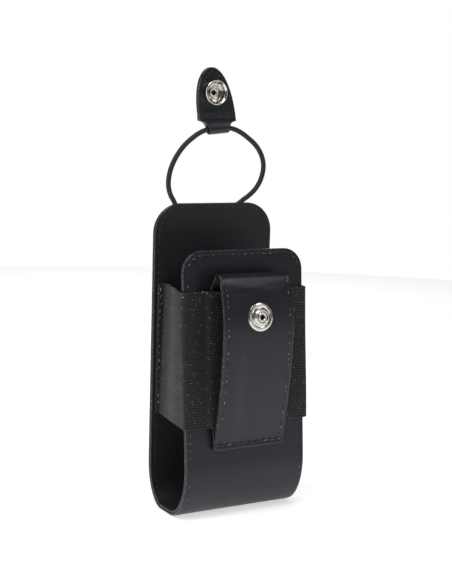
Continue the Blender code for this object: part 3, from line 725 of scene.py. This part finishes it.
STRAP_BOTTOM = 33.8
STRAP_RISE = 81.6
STRAP_STAND_OFF = 13.2
STUD_UP = 61.6
STUD_CENTRE_UP = STRAP_BOTTOM + STUD_UP
strap_rear = GAP + STRAP_PLY / 2
strap_sewn = strap_rear + 2 * STRAP_PLY + GAP
strap_peak = STRAP_STAND_OFF - STRAP_PLY / 2
strap_top = STRAP_BOTTOM + STRAP_RISE - STRAP_PLY / 2
band_top = (BAND_BOTTOM + BAND_HEIGHT) / math.cos(FRONT_LEAN)
spread = strap_peak - strap_rear
STRAP_FRONT_LEG = [
    (STRAP_BOTTOM, strap_sewn), (STRAP_BOTTOM + 4.0, strap_sewn),
    (STRAP_BOTTOM + 8.0, strap_sewn + 0.09 * spread),
    (STRAP_BOTTOM + 0.5 * STUD_UP, strap_sewn + 0.56 * spread),
    (STUD_CENTRE_UP - 8.0, strap_peak - 0.2), (STUD_CENTRE_UP, strap_peak),
    (STUD_CENTRE_UP + 7.0, strap_peak - 0.06 * spread),
    (strap_top - 3.4, strap_peak - 0.22 * spread),
]
STRAP_REST = [
    (strap_top - 0.8, strap_rear + 0.67 * spread), (strap_top, strap_rear + 0.52 * spread),
    (strap_top - 0.7, strap_rear + 0.38 * spread), (strap_top - 3.2, strap_rear + 0.22 * spread),
    (band_top + 1.8, strap_rear + 0.04 * spread), (band_top, strap_rear),
    (band_top - 12.0, strap_rear), (STRAP_BOTTOM, strap_rear),
]
strap_flat = smooth_path(STRAP_FRONT_LEG + STRAP_REST, 12)
strap_line = even_path(front_point(strap_flat[:, 0], strap_flat[:, 1]), 0.4)
leg_flat = smooth_path(STRAP_FRONT_LEG + STRAP_REST[:1], 12)[:-6]
leg_line = even_path(front_point(leg_flat[:, 0], leg_flat[:, 1]), 0.4)
LEG_LENGTH = lengths_along(leg_line)[-1]


def strap_relief(across, along):
    """The strap's soft shape: a slight crown across it, and creases under its fold.

    The crown is a cosine across the width. The creases are two slanting waves, strongest
    9 mm below the fold and gone 9 mm from there.
    """
    crown = 0.45 * np.cos(math.pi / 2 * across / STRAP_HALF) * np.clip(along / 20.0, 0, 1)
    crown = crown * np.clip((LEG_LENGTH + 4.0 - along) / 12.0, 0, 1)
    near = np.exp(-((along - LEG_LENGTH + 7.0) / 6.5) ** 2)
    creases = 0.07 * np.sin(along * 1.1 + across * 0.16) + 0.05 * np.sin(along * 1.9 - across * 0.27)
    return crown + near * creases * np.cos(math.pi / 2 * across / (STRAP_HALF + 4.0))


# The strap's leather is a little lighter and smoother than the case's.
strap_leather = leather("strap_cowhide", "#101012", "#232426", 0.38, 1.0)
points, uv, edge = sheet_grid(strap_line, STRAP_HALF, (1.0, 1.0), STRAP_PLY + 0.1, STRAP_PLY / 2 - 0.4,
                              seam=2.2, relief=strap_relief, spacing=1.2)
# A painted highlight runs up the front leg: a paler band where the leather bends lengthways.
on_leg = np.clip((LEG_LENGTH - 26.0 - uv[..., 1]) / 14.0, 0.0, 1.0)
band_share = 0.8 * np.exp(-((uv[..., 0] + 8.0) / 2.4) ** 2) * on_leg
# The fold's crest is painted paler: a highlight where it faces the light from above.
band_share = band_share + 0.6 * np.exp(-((uv[..., 1] - LEG_LENGTH + 3.0) / 7.0) ** 2)
# These painted highlights go into the edge attribute along with the rubbed edges.
strap = add_surface("strap_facing_leather", points, uv, strap_leather, "case", "leather",
                    edge=np.maximum(edge, np.minimum(band_share, 0.55)))
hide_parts("strap_facing")
points, uv, edge = sheet_grid(leg_line, STRAP_HALF, (1.0, 1.0), STRAP_PLY + 0.1,
                              STRAP_PLY + GAP - 0.15, seam=2.2, relief=strap_relief, spacing=1.2)
strap_back = add_surface("strap_lining_leather", points, uv, lining_leather, "case",
                         "lining", edge=edge)
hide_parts("strap_lining")

strap_pitch = np.arange(5.2, LEG_LENGTH - 1.0, 2.6)
for side, label in ((-1, "left"), (1, "right")):
    middles = np.stack((np.full_like(strap_pitch, side * (STRAP_HALF - 2.2)), strap_pitch), axis=-1)
    out = 0.4 + strap_relief(middles[:, 0], middles[:, 1])
    centre = on_strip(strap_line, middles, out)
    forward = on_strip(strap_line, middles + (0.0, 0.3), out) - centre
    outward = on_strip(strap_line, middles, out + 1.0) - centre
    add_stitches(f"strap_seam_{label}", centre, forward, outward, "case", 1.5, seed=40 + side)
foot_x = np.arange(-15.6, 16.0, 3.9)
middles = np.stack((foot_x, np.full_like(foot_x, 2.4)), axis=-1)
out = 0.4 + 0.05 + strap_relief(middles[:, 0], middles[:, 1])
centre = on_strip(strap_line, middles, out)
add_stitches("strap_foot_seam", centre, np.tile((1.0, 0.0, 0.0), (len(centre), 1)),
             on_strip(strap_line, middles, out + 1.0) - centre, "case", 3.3, width=0.7, seed=50,
             pale=0.2)

# ---- Snap stud ----
# Nickel-plated brass, spun and pressed: a flat flange with a raised boss, riveted to the strap
# by a hollow post whose rolled lip shows inside the boss.

POST_RADIUS = 2.3 / 2 + 0.55
POST_HOLE = POST_RADIUS + GAP
STUD_HEIGHT = 2.4
LIP_HEIGHT = 0.6
LIP_RADIUS = POST_RADIUS + 0.7
TURN_STEPS = 96


def rounded_profile(profile, radius, closed):
    """A profile of (radius, height) points with each corner eased by a quadratic curve.

    A point is kept just outside both ends of each curve, so that flat parts shade flat.
    """
    profile = np.asarray(profile, float)
    before = np.roll(profile, 1, axis=0) - profile
    after = np.roll(profile, -1, axis=0) - profile
    reach = np.minimum(radius, 0.28 * np.minimum(np.linalg.norm(before, axis=1),
                                                 np.linalg.norm(after, axis=1)))[:, None]
    a = reach * before / np.linalg.norm(before, axis=1)[:, None]
    b = reach * after / np.linalg.norm(after, axis=1)[:, None]
    t = np.linspace(0.0, 1.0, 5)[:, None, None]
    curve = profile + a * (1 - t) ** 2 + b * t ** 2
    corners = np.concatenate(((profile + 1.5 * a)[None], curve, (profile + 1.5 * b)[None]))
    corners = corners.transpose(1, 0, 2)
    if closed:
        ring = corners.reshape(-1, 2)
        return np.vstack((ring, ring[:1]))
    return np.vstack((profile[:1], corners[1:-1].reshape(-1, 2), profile[-1:]))


def turned_grid(profile, to_place, radius=0.14):
    """A turned shape: the eased profile carried once round its axis, then put in place."""
    closed = profile[0][0] > 0.0
    profile = rounded_profile(profile, radius, closed)
    turn = (np.arange(TURN_STEPS + 1) % TURN_STEPS) / TURN_STEPS * 2 * math.pi
    local = np.stack((profile[:, :1] * np.cos(turn), profile[:, :1] * np.sin(turn),
                      np.broadcast_to(profile[:, 1:], (len(profile), TURN_STEPS + 1))), axis=-1)
    place = np.array(to_place)
    points = local @ place[:3, :3].T + place[:3, 3]
    along = lengths_along(profile)
    uv = np.stack(np.broadcast_arrays(along[:, None], np.arange(TURN_STEPS + 1) / 4), axis=-1)
    return points, uv


def post_profile(lip_bottom, leather_thickness, closed_end):
    """The hollow post: a rolled lip in front, a shank and a head behind the leather."""
    bore = 2.3 / 2
    lip_top = lip_bottom + LIP_HEIGHT
    back = -(leather_thickness + GAP)
    end = back - 0.6
    outside = [(bore + 0.25, lip_top), (LIP_RADIUS - 0.25, lip_top), (LIP_RADIUS, lip_top - 0.25),
               (LIP_RADIUS - 0.1, lip_bottom), (POST_RADIUS, lip_bottom), (POST_RADIUS, back),
               (4.5, back), (4.5, end)]
    if closed_end:
        floor_height = end + 0.275
        return [(0.0, floor_height), (bore, floor_height), (bore, lip_top - 0.25), *outside,
                (0.0, end)]
    return [*outside, (bore, end), (bore, lip_top - 0.25)]


# Bright nickel plate: mirror-like, with shallow waves and fine rubbing from use.
nickel, tree, shader = new_material("bright_nickel", metallic=1.0, base_color=linear("#d6d2cc"))
place = add_node(tree, "TexCoord").outputs["Object"]
rubbing = add_node(tree, "TexNoise", {"Vector": place, "Scale": 900.0, "Detail": 3.0}).outputs["Fac"]
dull = add_node(tree, "MapRange", {"Value": rubbing, 1: 0.35, 2: 0.7, 3: 0.08, 4: 0.20})
tree.links.new(dull.outputs[0], shader.inputs["Roughness"])
waves = add_node(tree, "TexNoise", {"Vector": place, "Scale": 420.0, "Detail": 1.0}).outputs["Fac"]
bump = add_node(tree, "Bump", {"Height": waves, "Strength": 0.8, "Distance": 0.00016})
tree.links.new(bump.outputs["Normal"], shader.inputs["Normal"])

strap_lengths = lengths_along(strap_line)
below_fold = strap_line[:, 1] < strap_line[:, 1].max() - 4.0
rising = np.arange(len(strap_line)) < np.argmin(below_fold)
stud_level = front_point(STUD_CENTRE_UP, STRAP_STAND_OFF)[1]
stud_along = np.interp(stud_level, strap_line[rising, 1], strap_lengths[rising])
stud_face = on_line(strap_line, stud_along, STRAP_PLY / 2)
stud_out = on_line(strap_line, stud_along, STRAP_PLY / 2 + 1.0) - stud_face
stud_place = (Matrix.Translation((0.0, *stud_face))
              @ Matrix.Rotation(math.atan2(-stud_out[0], stud_out[1]), 4, "X"))
recess_floor = STUD_HEIGHT - LIP_HEIGHT
recess = LIP_RADIUS + GAP
stud_top = GAP + STUD_HEIGHT
plate_top = GAP + 0.8
STUD_PROFILE = [
    (3.2, stud_top), (3.5, stud_top - 0.3), (3.5, stud_top - 0.6), (3.15, stud_top - 0.9),
    (3.15, plate_top + 0.3), (3.5, plate_top), (4.1, plate_top - 0.06), (4.5, plate_top - 0.24),
    (5.0, plate_top - 0.06), (5.85, plate_top), (6.55, plate_top - 0.3),
    (6.45, GAP), (POST_HOLE, GAP), (POST_HOLE, recess_floor), (recess, recess_floor),
    (recess, stud_top - 0.15), (recess + 0.15, stud_top),
]
points, uv = turned_grid(STUD_PROFILE, stud_place)
stud = add_surface("stud_shell", points, uv, nickel, "case", "chrome")
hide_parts("snap_stud")
points, uv = turned_grid(post_profile(recess_floor + GAP, 2 * STRAP_PLY + GAP, False), stud_place)
stud_rivet = add_surface("stud_rivet", points, uv, nickel, "case", "chrome")
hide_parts("stud_post")

# ---- Leather tab ----
# Two layers of strap leather sewn together, 3 mm thick. The thicker one narrows to a neck
# that folds round the cord, and the thin face stops in a cut edge above the neck.

TAB_HALF = 9.8
TAB_NECK = 5.4
TAB_SHOULDER = 3.5
TAB_LENGTH = 28.7
TAB_SWAY = 2.2
TAB_SKEW = 0.10
TAB_FACE = 1.5  # from the tab's middle to its face
TAB_STEP = 0.9  # from the tab's middle to the neck's face
TAB_CREASE = 6.0  # where the thin face stops, above the cord
tab_place = np.array(Matrix.Translation(CROWN) @ Matrix.Rotation(CROWN_TILT, 4, "Y"))


def skewed(across, up):
    """The tab's outline as it hangs: the tip to the left, and the right shoulder lower.

    Both grow with the height above the neck as far as the shoulders; the skew then fades
    towards the tip.
    """
    share = np.clip(up / TAB_SHOULDER, 0.0, 1.0)
    return (across - TAB_SWAY * up / TAB_LENGTH * share,
            up - TAB_SKEW * across * (1 - up / TAB_LENGTH) * share)


def tab_half_width(up):
    """Half the tab's width at heights above the cord: neck, hollow shoulder, pointed arch."""
    notch = TAB_HALF - TAB_NECK
    rise = TAB_LENGTH - TAB_SHOULDER - 1.6
    share = np.clip((up - TAB_SHOULDER - 1.6) / rise, 0.0, 1.0)
    arch = TAB_HALF * np.sqrt(np.maximum(0.0, 1 - share ** 2.3))
    fall = np.clip(TAB_SHOULDER - up, 0.0, notch)
    hollow = TAB_HALF - np.sqrt(np.maximum(0.0, notch ** 2 - (notch - fall) ** 2))
    return np.where(up < TAB_SHOULDER, hollow, arch)


def tab_layer(bottom, front, back):
    """One layer of the tab between two depths, from a height above the cord to the tip.

    The edge distance is the least distance to the outline, and rounds the edges as a quarter
    circle does.
    """
    length = TAB_LENGTH - bottom
    tip = TAB_LENGTH - length * (1 - np.sin(np.linspace(0, math.pi / 2, 30)))
    up = np.unique(np.round(np.concatenate((bottom + graded(length, 0.7), tip)), 3))
    up = up[(up >= bottom) & (up <= TAB_LENGTH)]
    half = tab_half_width(up)
    columns = graded(2 * TAB_HALF, 0.7) / TAB_HALF - 1
    across = columns[None, :] * half[:, None]
    height = np.broadcast_to(up[:, None], across.shape)
    fine = np.linspace(bottom, TAB_LENGTH, 600)
    rim = np.stack((tab_half_width(fine), fine), axis=-1)
    rim = even_path(np.vstack(((0.0, bottom), rim)), 0.1)
    rim = np.vstack((rim, rim * (-1, 1)))
    flat = np.stack((across, height), axis=-1).reshape(-1, 1, 2)
    inset = np.concatenate([np.linalg.norm(block - rim, axis=-1).min(axis=1)
                            for block in np.array_split(flat, 8)])
    inset = inset.reshape(across.shape)
    share = np.clip(inset / min(EDGE_ROUNDING, (back - front) / 2), 0.0, 1.0)
    share[:, (0, -1)] = 0.0
    share[(0, -1), :] = 0.0
    thick = (back - front) / 2 * np.sqrt(1 - (1 - share) ** 2)
    middle = (front + back) / 2
    swayed, hung = skewed(across, height)
    faces = [np.stack((swayed, middle + side * thick, hung), axis=-1) for side in (1, -1)]
    points = np.concatenate((faces[0], faces[1][::-1]), axis=0)
    uv = np.stack((across, height), axis=-1)
    edge = np.clip(1 - inset / 0.9, 0.0, 1.0)
    return (points @ tab_place[:3, :3].T + tab_place[:3, 3], np.concatenate((uv, uv[::-1]), axis=0),
            np.concatenate((edge, edge[::-1]), axis=0))


points, uv, edge = tab_layer(1.2, -TAB_STEP, TAB_FACE)
tab_body = add_surface("tab_body_leather", points, uv, strap_leather, "tab", "leather",
                       edge=edge)
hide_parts("tab_leather")
points, uv, edge = tab_layer(TAB_CREASE, -TAB_FACE, -TAB_STEP + 0.08)
tab_face = add_surface("tab_face_leather", points, uv, strap_leather, "tab", "leather",
                       edge=edge)

# The neck is thinned where it folds: it comes down from the crease, goes round the cord and up
# the back, as wide as the outline at each height.
fold_angle = np.linspace(-math.radians(8.0), -math.pi / 2, 16)
outer_side = np.vstack(([(1.5, TAB_CREASE), (1.62, 4.2), (1.95, 2.4), (2.42, 0.8)],
                        2.65 * np.stack((np.cos(fold_angle), np.sin(fold_angle)), axis=-1)))
inner_side = np.vstack(([(0.8, TAB_CREASE), (0.85, 4.2), (1.0, 2.4), (1.2, 0.8)],
                        1.28 * np.stack((np.cos(fold_angle), np.sin(fold_angle)), axis=-1)))
outer_side = smooth_path(outer_side, 3)
inner_side = smooth_path(inner_side, 3)
outer_wrap = np.vstack((outer_side * (-1, 1), outer_side[-2::-1]))
inner_wrap = np.vstack((inner_side * (-1, 1), inner_side[-2::-1]))
wrap_along = lengths_along(outer_wrap)
wrap_up = np.maximum(outer_wrap[:, 1], 0.0)
wrap_half = np.where(wrap_up > 0.0, tab_half_width(np.minimum(wrap_up, TAB_SHOULDER + 1.5)),
                     TAB_NECK + 0.1)
across = (graded(2 * TAB_HALF, 0.9) / TAB_HALF - 1) * wrap_half[:, None]
inset = np.minimum(wrap_half[:, None] - np.abs(across),
                   np.minimum(wrap_along, wrap_along[-1] - wrap_along)[:, None])
share = np.clip(inset / EDGE_ROUNDING, 0.0, 1.0)
share[:, (0, -1)] = 0.0
share[(0, -1), :] = 0.0
swell = np.sqrt(1 - (1 - share) ** 2)[..., None]
wrap_middle = (outer_wrap + inner_wrap)[:, None] / 2
wrap_reach = (outer_wrap - inner_wrap)[:, None] / 2 * swell
faces = []
for side in (1, -1):
    depth, height = np.moveaxis(wrap_middle + side * wrap_reach, -1, 0)
    swayed, hung = skewed(across, height)
    faces.append(np.stack((swayed, depth, hung), axis=-1))
points = np.concatenate((faces[0], faces[1][::-1]), axis=0) @ tab_place[:3, :3].T + tab_place[:3, 3]
uv = np.stack(np.broadcast_arrays(across, wrap_along[:, None]), axis=-1)
# The whole neck is painted paler, with its edge value at least 0.5: a painted highlight where the flap
# faces the light from above.
edge = np.maximum(np.clip(1 - inset / 0.9, 0.0, 1.0), 0.5)
tab_neck = add_surface("tab_neck_leather", points, np.concatenate((uv, uv[::-1]), axis=0),
                       strap_leather, "tab", "leather",
                       edge=np.concatenate((edge, edge[::-1]), axis=0))

TAB_SEAM = 1.7  # from the outline to the stitches
SEAM_START = 5.1  # the seam's tip is drawn in lengthways, measured from here
SEAM_DRAWN_IN = 0.94
fine = np.linspace(TAB_CREASE + TAB_SEAM, TAB_LENGTH - TAB_SEAM, 400)
seam_half = np.maximum(tab_half_width((fine - SEAM_START) / SEAM_DRAWN_IN + SEAM_START) - TAB_SEAM, 0.0)
seam_side = np.stack((seam_half, fine), axis=-1)
seam_loop = np.vstack((seam_side * (-1, 1), seam_side[::-1], seam_side[:1] * (-1, 1)))
seam_loop = even_path(np.stack(skewed(*seam_loop.T), axis=-1), 1.1)
middles = seam_loop[1:-1:2]
ahead = seam_loop[2::2][:len(middles)] - seam_loop[:-2:2][:len(middles)]
for label, depth, facing in (("front", -TAB_FACE, -1.0), ("back", TAB_FACE, 1.0)):
    centre = np.stack((middles[:, 0], np.full(len(middles), depth), middles[:, 1]), axis=-1)
    forward = np.stack((ahead[:, 0], np.zeros(len(ahead)), ahead[:, 1]), axis=-1)
    outward = np.tile((0.0, facing, 0.0), (len(middles), 1))
    add_stitches(f"tab_seam_{label}", centre @ tab_place[:3, :3].T + tab_place[:3, 3],
                 forward @ tab_place[:3, :3].T, outward @ tab_place[:3, :3].T, "tab", 1.5,
                 width=0.3, seed=60, pale=0.2)

# ---- Snap socket ----
# Nickel-plated brass cup with a rolled rim and a split spring ring inside it, riveted to the
# tab by a post whose domed cap shows on the back.

SOCKET_DEPTH = 4.6
SNAP_ASIDE = -2.8
SNAP_UP = 17.0
socket_place = (Matrix(tab_place) @ Matrix.Translation((SNAP_ASIDE, -TAB_FACE, SNAP_UP))
                @ Matrix.Rotation(math.pi / 2, 4, "X"))
socket_floor = GAP + 0.7
socket_top = GAP + SOCKET_DEPTH
SOCKET_PROFILE = [
    (5.65, socket_top), (5.85, socket_top - 0.3), (5.35, socket_top - 0.9), (5.15, GAP + 1.1),
    (4.7, GAP), (POST_HOLE, GAP), (POST_HOLE, socket_floor), (4.3, socket_floor),
    (4.45, socket_floor + 0.6), (4.65, socket_top - 0.9), (5.15, socket_top - 0.2),
    (5.35, socket_top),
]
points, uv = turned_grid(SOCKET_PROFILE, socket_place)
socket = add_surface("socket_cup", points, uv, nickel, "tab", "chrome")
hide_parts("snap_socket")
points, uv = turned_grid(post_profile(socket_floor + GAP, 3.0, True), socket_place)
socket_rivet = add_surface("socket_rivet", points, uv, nickel, "tab", "chrome")
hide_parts("socket_post")
cap_back = -(3.0 + GAP)
CAP_PROFILE = [
    (0.0, cap_back - 0.9), (4.8, cap_back - 0.9), (4.8, cap_back), (5.9, cap_back),
    (6.3, cap_back - 0.4), (6.2, cap_back - 0.8), (5.4, cap_back - 1.3), (3.5, cap_back - 1.75),
    (1.8, cap_back - 1.87), (0.0, cap_back - 1.9),
]
points, uv = turned_grid(CAP_PROFILE, socket_place, radius=0.3)
cap = add_surface("cap_dome", points, uv, nickel, "tab", "chrome")
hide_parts("tab_cap")

spring_material = nickel.copy()
spring_material.name = "spring_wire"
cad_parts["socket_spring"].data.materials.clear()
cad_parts["socket_spring"].data.materials.append(spring_material)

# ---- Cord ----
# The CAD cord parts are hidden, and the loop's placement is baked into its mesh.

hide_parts("cord_left", "cord_right", "cord_crown")
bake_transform(cord_loop)
